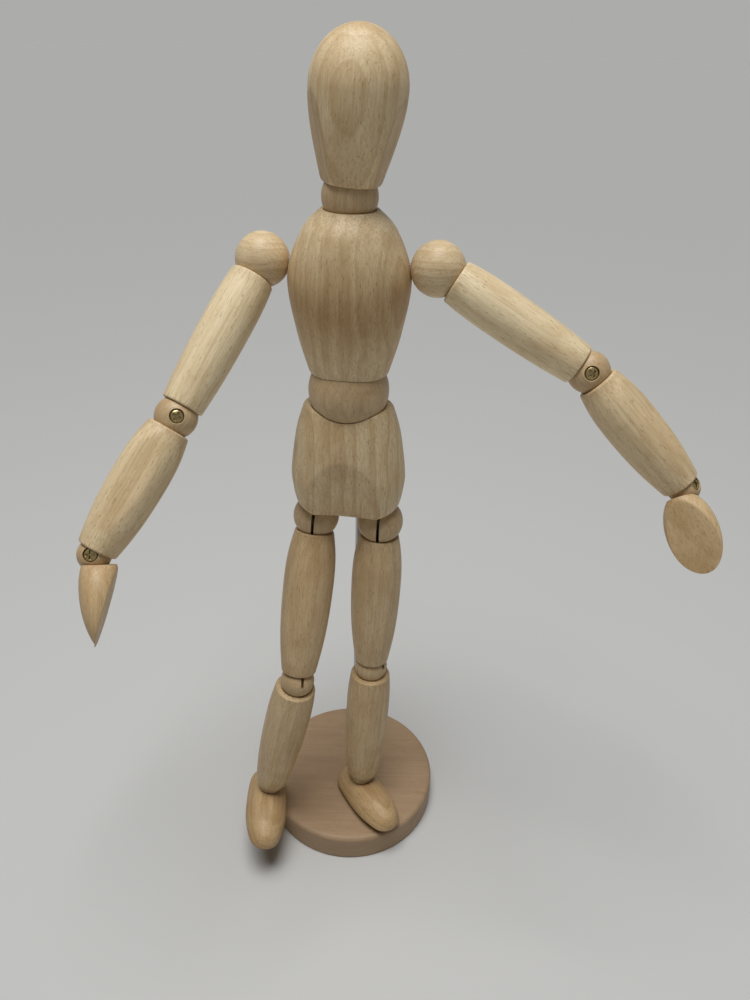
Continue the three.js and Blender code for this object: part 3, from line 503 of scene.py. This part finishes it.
chest_rows = turned(chest_profile, 160)
rise = np.clip((chest_rows[..., 2] - CHEST_BELLY) / (CHEST_TOP - CHEST_BELLY), 0, 1)
chest_rows[..., 1] *= CHEST_OVAL + (1 - CHEST_OVAL) * rise * rise * (3 - 2 * rise)
chest = skin("chest", chest_rows)
cut(
    chest,
    globe(WAIST_BALL / 2 + SOCKET_GAP, (0, 0, 0), 160),
    globe(NECK_BALL / 2 + SOCKET_GAP, (0, 0, NECK_OVER_WAIST)),
    globe(SHOULDER_BALL / 2 + DISH_GAP, (-SHOULDER_OUT, 0, SHOULDER_UP)),
    globe(SHOULDER_BALL / 2 + DISH_GAP, (SHOULDER_OUT, 0, SHOULDER_UP)),
)
fit(
    chest, waist_place, "chest", ["chest"], pale_wood,
    heart=(40, -20), tone=brown_middle, figure=0.6, crease=12,
)

# Neck ball and head
# The neck ball is bored through like the waist ball. The head is a turned egg, cut flat below and
# hollowed for the ball.
NECK_MOUTH = 4.6
HEAD_FLOOR = 3.8
HEAD_HEIGHT = 42.4
HEAD_BELLY = 29.8
HEAD_RADIUS = 14.8
HEAD_RIM = 9.49
HEAD_EDGE = 1.2
CHEEK_PLACE = np.array([11.2, 0.0, 13.8])
CHEEK_TILT = np.radians(14)
CHEEK_TURNS = np.radians([-12, 208])


def swept(start, first, second, end, count):
    """A cubic curve from start to end, pulled towards two handles."""
    t = np.linspace(0, 1, count)[:, None]
    start, first, second, end = (np.asarray(p, float) for p in (start, first, second, end))
    return start * (1 - t) ** 3 + 3 * first * t * (1 - t) ** 2 + 3 * second * t**2 * (1 - t) + end * t**3


neck = centre_of("neck_nod")
neck_ball = skin("neck_ball", threaded_ball(NECK_BALL / 2, NECK_MOUTH, WIRE_BORE), ring=True)
neck_place = seat(neck, axis_of("neck_nod"), chest_up)
fit(neck_ball, neck_place, "neck", ["neck_ball"], ball_wood)

edge = np.radians(np.linspace(0, 80, 9))
crown = np.radians(np.linspace(0, 88, 48))[1:]
head_profile = np.concatenate([
    [[0.2, HEAD_FLOOR]],
    np.stack([
        HEAD_RIM + 0.3 - HEAD_EDGE * (1 - np.sin(edge)), HEAD_FLOOR + HEAD_EDGE * (1 - np.cos(edge)),
    ], axis=-1),
    swept(
        (HEAD_RIM + 0.45, HEAD_FLOOR + HEAD_EDGE), (HEAD_RIM + 2.4, HEAD_FLOOR + 7.8),
        (HEAD_RADIUS, HEAD_BELLY - 10.4), (HEAD_RADIUS, HEAD_BELLY), 48,
    ),
    np.stack([
        HEAD_RADIUS * np.cos(crown),
        HEAD_BELLY + (HEAD_FLOOR + HEAD_HEIGHT - HEAD_BELLY) * np.sin(crown),
    ], axis=-1),
])
head_rows = turned(head_profile, 160)
cheeks = []
for turn in CHEEK_TURNS:
    about = np.array([[np.cos(turn), -np.sin(turn), 0], [np.sin(turn), np.cos(turn), 0], [0, 0, 1]])
    outward = about @ [np.cos(CHEEK_TILT), 0, -np.sin(CHEEK_TILT)]
    cheeks.append((outward, about @ CHEEK_PLACE))
    head_rows = planed(head_rows, *cheeks[-1])
head = cut(skin("head", head_rows), globe(NECK_BALL / 2 + SOCKET_GAP))
head_place = seat(neck, axis_of("neck_nod"), axis_of("head_turn"))
# The cheek flats are browned as painted shade.
fit(
    head, head_place, "head", ["head"], pale_wood,
    heart=(-2, -50), tone=planed_shade_tone(0.45, 0.45, *cheeks), figure=0.6,
)

# Shoulder balls
# Each is a wooden ball on a peg from the chest, slotted for the arm's eye strip on a cross pin.
SLOT = 1.2
EYE_ROOM = 2.6
TONGUE_ROOM = 1.55
PIN_HOLE = 1.2
SHOULDER_SLOT = (-92, 6)
COUNTERBORE = 2.35
COUNTERBORE_DEPTH = 2.2


def slot_tools(radius, limits):
    """The room for an eye strip that swings about X: a sector of a thin disc, the eye's own disc, and
    the strip's width at both limits. Angles are from straight down."""
    reach = radius + 1
    turn = np.radians(np.linspace(*limits, 33))[:, None]
    across = np.array([-SLOT / 2, SLOT / 2, SLOT / 2, -SLOT / 2])
    out = np.array([1.0, 1.0, reach, reach])
    sector = np.stack([across + 0 * turn, out * np.sin(turn), -out * np.cos(turn)], axis=-1)
    tools = [skin("slot", sector), skin("eye_room", lying(bar(EYE_ROOM, -SLOT / 2, SLOT / 2)))]
    strip = block((-SLOT / 2, -TONGUE_ROOM, -reach), (SLOT / 2, TONGUE_ROOM, 0))
    return tools + [skin("strip", tilted(strip, limit)) for limit in limits]


def lying(rows):
    """Rows turned about Z laid over to turn about X."""
    return rows[..., [2, 0, 1]]


def slotted_ball(name, diameter, limits, slot_up=False, screwed=False):
    """A ball with its slot and, if screwed, a cross hole along X with a counterbore at its +X end."""
    radius = diameter / 2
    ball = globe(radius)
    ball.name = name
    ball.data.name = name
    tools = slot_tools(radius, limits)
    if screwed:
        seat_depth = radius - COUNTERBORE_DEPTH
        tools.append(skin("counterbore", lying(turned([
            [0.05, seat_depth], [COUNTERBORE, seat_depth], [COUNTERBORE, radius - 0.65],
            [COUNTERBORE + 0.6, radius + 0.15], [0.05, radius + 0.15],
        ], 64))))
        tools.append(skin("pin_hole", lying(bar(PIN_HOLE, -radius - 1, radius + 1))))
    cut(ball, *tools)
    if slot_up:
        ball.data.transform(Matrix.Rotation(np.pi, 4, "X"))
    return ball


sides = ("left", "right")
for side in sides:
    shoulder = centre_of(f"{side}_shoulder_swivel")
    ball = slotted_ball(f"{side}_shoulder_ball", SHOULDER_BALL, SHOULDER_SLOT)
    place = seat(shoulder, axis_of(f"{side}_shoulder_swing"), axis_of(f"{side}_shoulder_swivel"))
    fit(
        ball, place, f"{side}_shoulder", [f"{side}_shoulder_ball"], ball_wood,
        heart=(6, -16), tone=0.1, figure=0.6,
    )

# Upper arms
# Turned sleeves of pale wood. A round socket at each end sits on the shoulder ball and the elbow ball,
# and a bore between them holds the sprung tie.
ELBOW_BALL = 14.0
BORE = 2.8
UPPER_ARM_BELLY = 16.3
UPPER_ARM_BELLY_AT = 0.33
SHOULDER_RIM = 45
UPPER_ARM_RIM = 58
THIN_WALL = 0.5
SOCKET_SPREAD = 1.0396


def sleeve(length, belly, belly_at, top, bottom):
    """The loop of a turned limb's half section, turned: bottom socket, swelling side, top socket, bore.

    An end is (ball diameter, rim angle from the limb's axis, wood at the rim). Each outer corner is
    rounded by a quarter circle."""
    def end_line(end):
        diameter, rim, wall = end
        radius = diameter / 2 + SOCKET_GAP
        spread = (diameter / 2 + 0.3) * SOCKET_SPREAD
        height, outer = spread * np.cos(np.radians(rim)), spread * np.sin(np.radians(rim)) + wall
        angle = np.linspace(np.arcsin(BORE / radius), np.arccos(height / radius), 16)
        line = np.stack([radius * np.sin(angle), radius * np.cos(angle)], axis=-1)
        corner = min(0.9, 0.75 * (outer - line[-1, 0]))
        arc = np.radians(np.linspace(0, 90, 9))
        rounding = np.stack([
            outer - corner * (1 - np.sin(arc)), height + corner * (1 - np.cos(arc)),
        ], axis=-1)
        return line, rounding

    lower, lower_corner = (line + [0, -length] for line in end_line(bottom))
    upper, upper_corner = (line * [1, -1] for line in end_line(top))
    start, end = lower_corner[-1], upper_corner[-1]
    middle = np.array([belly / 2, end[1] + (start[1] - end[1]) * belly_at])

    def swell(rim):
        lift = rim[1] - middle[1]
        lean = (rim[0] + 0.65 * (middle[0] - rim[0]), rim[1] - 0.3 * lift)
        return swept(rim, lean, (middle[0], middle[1] + 0.45 * lift), middle, 30)

    return turned(np.concatenate([
        lower, lower_corner, swell(start)[1:], swell(end)[::-1][1:-1], upper_corner[::-1], upper[::-1],
        np.linspace(upper[0], lower[0], 8)[1:-1],
    ]))


for side in sides:
    shoulder = centre_of(f"{side}_shoulder_swivel")
    elbow = centre_of(f"{side}_elbow_bend")
    arm = skin(f"{side}_upper_arm", sleeve(
        np.linalg.norm(shoulder - elbow), UPPER_ARM_BELLY, UPPER_ARM_BELLY_AT,
        (SHOULDER_BALL, SHOULDER_RIM, THIN_WALL), (ELBOW_BALL, UPPER_ARM_RIM, THIN_WALL),
    ), ring=True)
    place = seat(shoulder, axis_of(f"{side}_elbow_bend"), shoulder - elbow)
    fit(arm, place, f"{side}_upper_arm", [f"{side}_upper_arm"], pale_wood, tone=0.0)

# Elbow balls and screws
# Slotted balls with a counterbored cross screw of dull brass, its head cross-recessed.
ELBOW_SLOT = (-64, 64)
SCREW_HEAD = 2.05
SCREW_SHANK = 1.0
SCREW_DOME = 0.6
CROSS_WIDTH = 0.36
CROSS_REACH = 1.45
CROSS_DEPTH = 0.75
brass = metal("brass", (0.50, 0.39, 0.19, 1), 0.28, 0.4)


def cross_screw(ball):
    """A pan head on a shank, turned, with a cross sunk into the head: the height drops where a point is
    near one of two lines through the middle."""
    seat_height = ball / 2 - COUNTERBORE_DEPTH + 0.3
    far = np.sqrt((ball / 2) ** 2 - SCREW_SHANK**2) - 0.4
    reach = np.linspace(SCREW_HEAD, 0.04, 34)
    dome = np.sqrt(np.clip(1 - (reach / (SCREW_HEAD * 1.02)) ** 2, 0, 1))
    dome = seat_height + 0.85 + SCREW_DOME * dome
    profile = np.concatenate([
        [[0.1, -far], [SCREW_SHANK, -far], [SCREW_SHANK, seat_height], [SCREW_HEAD, seat_height]],
        np.stack([reach, dome], axis=-1),
    ])
    rows = turned(profile, 96)
    head = rows[4:]
    near = np.minimum(np.abs(head[..., 0]), np.abs(head[..., 1]))
    along = np.maximum(np.abs(head[..., 0]), np.abs(head[..., 1]))
    width = np.clip((CROSS_WIDTH - near) / 0.12, 0, 1) * np.clip((CROSS_REACH - along) / 0.25, 0, 1)
    head[..., 2] -= CROSS_DEPTH * width
    return lying(rows)


for side in sides:
    elbow = centre_of(f"{side}_elbow_bend")
    place = seat(elbow, axis_of(f"{side}_elbow_bend"), axis_of(f"{side}_forearm_twist"))
    ball = slotted_ball(f"{side}_elbow_ball", ELBOW_BALL, ELBOW_SLOT, slot_up=True, screwed=True)
    fit(ball, place, f"{side}_elbow", [f"{side}_elbow_ball"], ball_wood)
    screw = skin(f"{side}_elbow_screw", cross_screw(ELBOW_BALL))
    fit(screw, place, f"{side}_elbow", [f"{side}_elbow_screw"], brass)

# Forearms
# Turned sleeves of pale wood with a planed flat down the outer side.
WRIST_BALL = 10.8
FOREARM_FLAT = 7.8
FOREARM_BELLY = 17.8
FOREARM_BELLY_AT = 0.38
FOREARM_RIM = 54
FOREARM_WALL = 1.0
WRIST_RIM = 74
WRIST_WALL = 0.9
# The forearms' planed flat is browned as painted shade.
flat_shade_tone = planed_shade_tone(0.4, 0.25, (np.array([1.0, 0, 0]), np.array([FOREARM_FLAT, 0, 0])))
for side in sides:
    elbow = centre_of(f"{side}_elbow_bend")
    wrist = centre_of(f"{side}_wrist_bend")
    rows = sleeve(
        np.linalg.norm(elbow - wrist), FOREARM_BELLY, FOREARM_BELLY_AT,
        (ELBOW_BALL, FOREARM_RIM, FOREARM_WALL), (WRIST_BALL, WRIST_RIM, WRIST_WALL),
    )
    forearm = skin(f"{side}_forearm", planed(rows, (1, 0, 0), (FOREARM_FLAT, 0, 0)), ring=True)
    place = seat(elbow, axis_of(f"{side}_wrist_bend"), elbow - wrist)
    fit(forearm, place, f"{side}_forearm", [f"{side}_forearm"], pale_wood, tone=flat_shade_tone)

# Wrist balls and screws
# Small slotted balls like the elbows', each on a wooden stem that goes down into the hand.
WRIST_SLOT = (-52, 52)
for side in sides:
    wrist = centre_of(f"{side}_wrist_bend")
    place = seat(wrist, axis_of(f"{side}_wrist_bend"), axis_of(f"{side}_hand_twist"))
    ball = slotted_ball(f"{side}_wrist_ball", WRIST_BALL, WRIST_SLOT, slot_up=True, screwed=True)
    fit(ball, place, f"{side}_wrist", [f"{side}_wrist_ball"], ball_wood)
    screw = skin(f"{side}_wrist_screw", cross_screw(WRIST_BALL))
    fit(screw, place, f"{side}_wrist", [f"{side}_wrist_screw"], brass)

# Hands
# Each is an egg of pale wood sliced by the flat palm, cut across at the wrist and dished for its ball.
HAND_LENGTH = 29.4
HAND_WIDTH = 17.0
HAND_THICKNESS = 12.2
HAND_TOP = 3.2
HAND_MIDDLE = 15.2
HAND_BELLY = 9.2
HAND_HEEL = 12.4
HAND_FORWARD = 1.7
HAND_ASIDE = 1.5
PALM_TILT = np.radians(15.6)
FINGER_OFFSET = 0.4
FINGER_TAPER = 0.8
STEM_HOLE = 1.8
HAND_STEM = 11
HAND_TURN = {"left": -157.4, "right": 7.0}


def turned_about(vector, axis, degrees):
    """A vector turned about an axis."""
    return np.array(Matrix.Rotation(np.radians(degrees), 3, Vector(axis)) @ Vector(vector))


def hand_rows():
    """An egg along Z: half an ellipse gives its width, and its thickness is fullest at the heel.

    From there the thickness closes as a circle upwards, and as a power of 1 - reach^2 to the tip."""
    rise = np.radians(np.linspace(-89, 89, 120))[:, None]
    z = (HAND_LENGTH - HAND_MIDDLE) * np.sin(rise) - HAND_MIDDLE
    heel = z > -HAND_BELLY
    reach = (z + HAND_BELLY) / np.where(heel, HAND_HEEL, HAND_LENGTH - HAND_BELLY)
    thick = HAND_THICKNESS / 2 * np.clip(1 - reach**2, 0, 1) ** np.where(heel, 0.5, FINGER_TAPER)
    angle = np.linspace(0, 2 * np.pi, 144, endpoint=False)
    x = HAND_ASIDE + HAND_WIDTH / 2 * np.cos(rise) * np.cos(angle)
    return np.stack([x, HAND_FORWARD + thick * np.sin(angle), z + 0 * angle], axis=-1)


for side in sides:
    wrist = centre_of(f"{side}_wrist_bend")
    twist = axis_of(f"{side}_hand_twist")
    palm = (0, np.cos(PALM_TILT), -np.sin(PALM_TILT))
    hand = skin(f"{side}_hand", planed(hand_rows(), palm, (0, FINGER_OFFSET, -HAND_LENGTH)))
    cut(
        hand,
        skin("above", block((-40, -40, -HAND_TOP), (40, 40, 40))),
        globe(WRIST_BALL / 2 + SOCKET_GAP),
        skin("stem_hole", bar(STEM_HOLE, -HAND_STEM, 0)),
    )
    across = turned_about(axis_of(f"{side}_wrist_bend"), twist, HAND_TURN[side])
    place = seat(wrist, across, twist)
    # The hands are browned by their tone as painted shade.
    fit(hand, place, f"{side}_hand", [f"{side}_hand"], pale_wood, tone=1.0)

# Hip balls
# Slotted balls that hang on sprung wires in the pelvis and carry the thighs on cross pins.
HIP_SLOT = (-120, 34)
for side in sides:
    across = axis_of(f"{side}_hip_swing")
    place = seat(centre_of(f"{side}_hip_turn"), across, np.cross(across, axis_of(f"{side}_hip_splay")))
    ball = slotted_ball(f"{side}_hip_ball", HIP_BALL, HIP_SLOT)
    fit(ball, place, f"{side}_hip", [f"{side}_hip_ball"], ball_wood)

# Thighs
# The thickest turned sleeves of pale wood, swelling a third of the way down. A sprung tie in the bore
# holds each between the hip ball and the knee ball.
KNEE_BALL = 14.0
THIGH_BELLY = 20.3
THIGH_BELLY_AT = 0.36
HIP_RIM = 50
THIGH_RIM = 55
THIGH_WALL = 1.0
for side in sides:
    hip = centre_of(f"{side}_hip_turn")
    knee = centre_of(f"{side}_knee_bend")
    thigh = skin(f"{side}_thigh", sleeve(
        np.linalg.norm(hip - knee), THIGH_BELLY, THIGH_BELLY_AT,
        (HIP_BALL, HIP_RIM, THIN_WALL), (KNEE_BALL, THIGH_RIM, THIGH_WALL),
    ), ring=True)
    place = seat(hip, axis_of(f"{side}_hip_swing"), hip - knee)
    fit(thigh, place, f"{side}_thigh", [f"{side}_thigh"], pale_wood)

# Knee balls
# Slotted wooden balls on plain steel cross pins, held in the ends of thigh and shin by their ties.
KNEE_SLOT = (-64, 64)
for side in sides:
    knee = centre_of(f"{side}_knee_bend")
    place = seat(knee, axis_of(f"{side}_knee_bend"), axis_of(f"{side}_shin_twist"))
    ball = slotted_ball(f"{side}_knee_ball", KNEE_BALL, KNEE_SLOT, slot_up=True)
    fit(ball, place, f"{side}_knee", [f"{side}_knee_ball"], ball_wood)

# Shins
# Turned sleeves of pale wood that swell below the knee and taper to the ankle, with a thick rim above.
ANKLE_BALL = 10.8
SHIN_BELLY = 19.0
SHIN_BELLY_AT = 0.3
KNEE_RIM = 59
KNEE_WALL = 2.0
ANKLE_RIM = 64
ANKLE_WALL = 1.8
for side in sides:
    knee = centre_of(f"{side}_knee_bend")
    ankle = centre_of(f"{side}_ankle_bend")
    shin = skin(f"{side}_shin", sleeve(
        np.linalg.norm(knee - ankle), SHIN_BELLY, SHIN_BELLY_AT,
        (KNEE_BALL, KNEE_RIM, KNEE_WALL), (ANKLE_BALL, ANKLE_RIM, ANKLE_WALL),
    ), ring=True)
    place = seat(knee, axis_of(f"{side}_ankle_bend"), knee - ankle)
    fit(shin, place, f"{side}_shin", [f"{side}_shin"], pale_wood)

# Ankle balls
# Small slotted balls, each on a wooden stem that goes down into the foot.
ANKLE_SLOT = (-48, 48)
for side in sides:
    ankle = centre_of(f"{side}_ankle_bend")
    place = seat(ankle, axis_of(f"{side}_ankle_bend"), axis_of(f"{side}_foot_twist"))
    ball = slotted_ball(f"{side}_ankle_ball", ANKLE_BALL, ANKLE_SLOT, slot_up=True)
    fit(ball, place, f"{side}_ankle", [f"{side}_ankle_ball"], ball_wood)

# Feet
# Each is half an egg of pale wood, flat on its sole and dished above for the ankle ball.
FOOT_LENGTH = 39.0
FOOT_RADIUS = 9.3
FOOT_HEEL = 12.5
FOOT_DROP = 10.8
FOOT_STEM = 10.7
FOOT_TURN = {"left": 18.7, "right": -5.0}


def foot_rows():
    """An egg along -Y: a smooth outline from heel to toe, turned."""
    toe = FOOT_LENGTH - FOOT_HEEL
    outline = flowing([
        [0.42 * FOOT_RADIUS, -FOOT_HEEL], [0.86 * FOOT_RADIUS, -FOOT_HEEL + 4],
        [FOOT_RADIUS, 0.18 * toe], [0.94 * FOOT_RADIUS, 0.56 * toe],
        [0.68 * FOOT_RADIUS, 0.87 * toe], [0.38 * FOOT_RADIUS, 0.985 * toe],
        [0.06, toe + 0.5],
    ], 110)
    return planed(tilted(turned(outline, 144), 90), (0, 0, -1), (0, 0, 0.2), 0.15) - [0, 0, FOOT_DROP]


for side in sides:
    twist = axis_of(f"{side}_foot_twist")
    foot = cut(
        skin(f"{side}_foot", foot_rows()),
        globe(ANKLE_BALL / 2 + SOCKET_GAP),
        skin("stem_hole", bar(STEM_HOLE, -FOOT_STEM, 0)),
    )
    across = turned_about(axis_of(f"{side}_ankle_bend"), twist, FOOT_TURN[side])
    place = seat(centre_of(f"{side}_ankle_bend"), across, twist)
    # The feet are browned by a high tone: painted shade for the dimmer light low in the figure.
    fit(
        foot, place, f"{side}_foot", [f"{side}_foot"], pale_wood,
        along="y", heart=(26, 8), tone=1.2, figure=0.8,
    )

# Pins, pegs and ties
# Dull steel wire, strip and springs inside the balls and sleeves, seen only through the slots.
wire = metal("wire", (0.30, 0.29, 0.28, 1), 0.5, 0.6)
for name, piece in frame["nodes"].items():
    if name.endswith(("_pin", "_peg", "_tie", "_spring")):
        piece.data.materials.clear()
        piece.data.materials.append(wire)

# Floor, light and camera
# A plain pale table under broad soft light from above, with a nearer lamp over the figure's front.
# What the camera sees past the table has the colour of its far end.
FLOOR = 20.0
floor_mesh = bpy.data.meshes.new("floor")
corners = [(-FLOOR, -FLOOR, 0), (FLOOR, -FLOOR, 0), (FLOOR, FLOOR, 0), (-FLOOR, FLOOR, 0)]
floor_mesh.from_pydata(corners, [], [(0, 1, 2, 3)])
floor = bpy.data.objects.new("floor", floor_mesh)
bpy.context.scene.collection.objects.link(floor)
floor_paint = bpy.data.materials.new("floor")
floor_paint.use_nodes = True
floor_coat = floor_paint.node_tree.nodes["Principled BSDF"].inputs
floor_coat["Base Color"].default_value = (0.64, 0.64, 0.625, 1)
floor_coat["Roughness"].default_value = 0.8
floor_coat["Specular IOR Level"].default_value = 0.1
floor_mesh.materials.append(floor_paint)

world = bpy.data.worlds.new("studio")
world.use_nodes = True
sky = world.node_tree
sky.nodes["Background"].inputs["Color"].default_value = (1.0, 1.0, 1.0, 1)
sky.nodes["Background"].inputs["Strength"].default_value = 0.05
seen = add_node(sky, "ShaderNodeBackground", {"Color": (0.4125, 0.4125, 0.402, 1), "Strength": 1.0})
rays = add_node(sky, "ShaderNodeLightPath").outputs
shown = {0: rays["Is Camera Ray"], 1: rays["Is Glossy Ray"]}
shown = add_node(sky, "ShaderNodeMath", shown, operation="MAXIMUM").outputs[0]
shown = {0: shown, 1: rays["Is Transmission Ray"]}
shown = add_node(sky, "ShaderNodeMath", shown, operation="MAXIMUM").outputs[0]
both = {0: shown, 1: sky.nodes["Background"].outputs[0], 2: seen.outputs[0]}
both = add_node(sky, "ShaderNodeMixShader", both).outputs[0]
sky.links.new(both, sky.nodes["World Output"].inputs["Surface"])
bpy.context.scene.world = world


def lamp(light, place, aim):
    """Hangs a light at a place, looking at its aim."""
    made = bpy.data.objects.new(light.name, light)
    made.location = place
    made.rotation_euler = (Vector(aim) - Vector(place)).to_track_quat("-Z", "Y").to_euler()
    bpy.context.scene.collection.objects.link(made)


daylight = bpy.data.lights.new("daylight", "SUN")
daylight.energy = 1.85
daylight.angle = np.radians(35)
lamp(daylight, (-0.06, -0.05, 1.0), (0, 0, 0))
overhead = bpy.data.lights.new("overhead", "AREA")
overhead.size = 0.25
overhead.energy = 1.05
lamp(overhead, (-0.05, -0.12, 0.72), (0, 0, 0.1))

CAMERA_PLACE = (0.0082, -0.2502, 0.3275)
CAMERA_PITCH = np.radians(31.81)
CAMERA_ROLL = np.radians(1.60)
FOCAL_SHARE = 0.751
sight = Vector((0, np.cos(CAMERA_PITCH), -np.sin(CAMERA_PITCH)))
level = Vector((1, 0, 0))
plumb = Vector((0, -np.sin(CAMERA_PITCH), -np.cos(CAMERA_PITCH)))
right = np.cos(CAMERA_ROLL) * level - np.sin(CAMERA_ROLL) * plumb
down = np.cos(CAMERA_ROLL) * plumb + np.sin(CAMERA_ROLL) * level
camera = bpy.data.objects.new("camera", bpy.data.cameras.new("camera"))
camera.data.sensor_width = 36.0
camera.data.lens = FOCAL_SHARE * camera.data.sensor_width
camera.data.clip_start = 0.01
facing_photo = Matrix((right, -down, -sight)).transposed().to_4x4()
camera.matrix_world = Matrix.Translation(CAMERA_PLACE) @ facing_photo
bpy.context.scene.collection.objects.link(camera)
bpy.context.scene.camera = camera
bpy.context.scene.view_settings.view_transform = "Standard"
